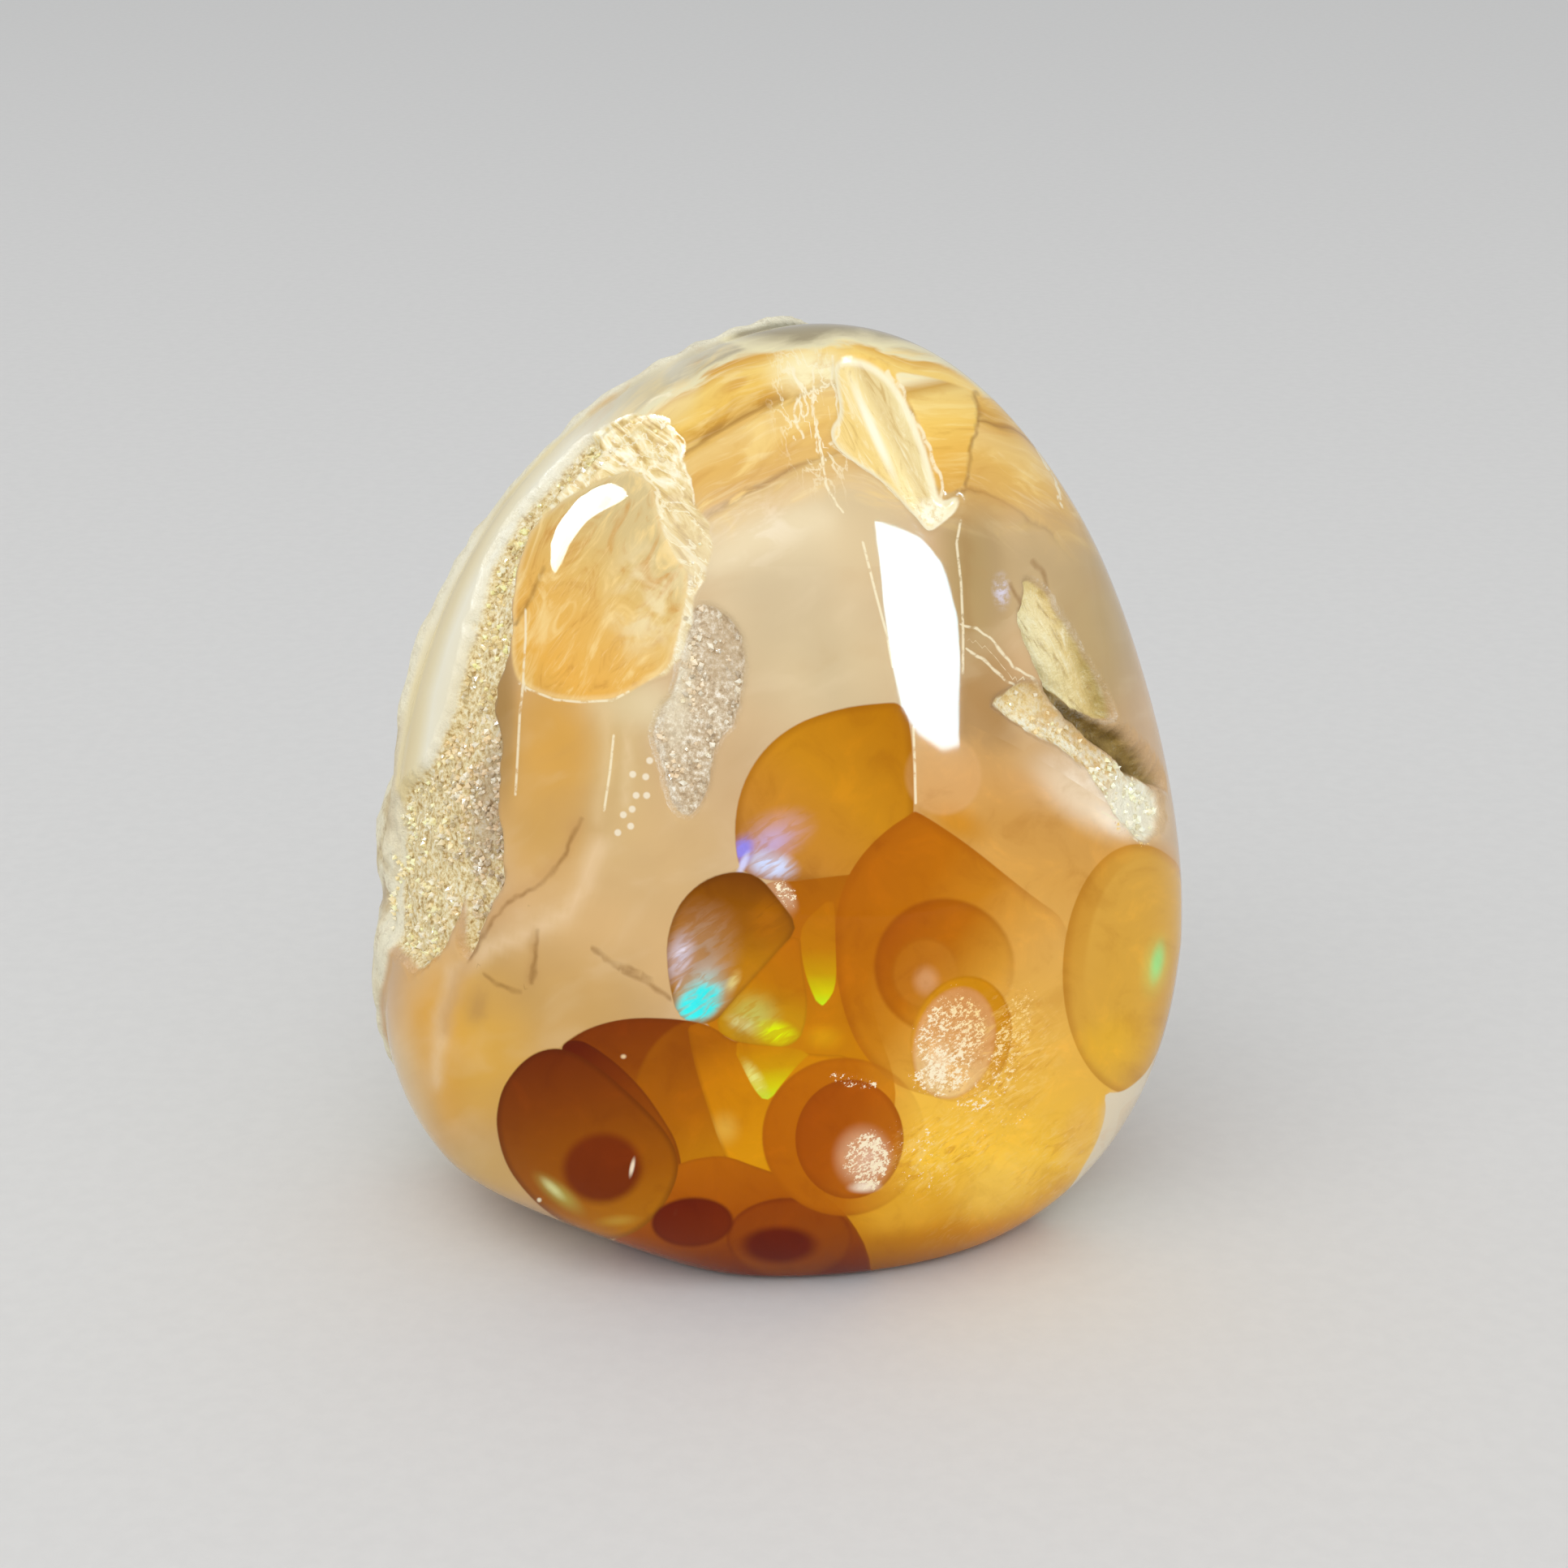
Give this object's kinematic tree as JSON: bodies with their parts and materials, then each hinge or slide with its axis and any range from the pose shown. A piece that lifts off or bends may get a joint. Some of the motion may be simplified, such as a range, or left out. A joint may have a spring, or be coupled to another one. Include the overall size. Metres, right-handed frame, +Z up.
{
  "type": "fire agate specimen",
  "caption": "Egg-shaped polished fire agate stone with natural hollows in its front, a rough natural rind on its back and a flat foot to stand on.",
  "frame": {"origin": "on the flat foot, under the middle of the stone's box", "axes": "+Z up out of the foot, -Y out of the polished front that shows the fire, +X to the right of that front"},
  "size_m": [0.0406, 0.0308, 0.0437],
  "materials": {
    "fire_agate": "polished translucent chalcedony, left natural in its hollows and on its back"
  },
  "bodies": {
    "root": {"fire_agate": "fire_agate"}
  },
  "joints": []
}
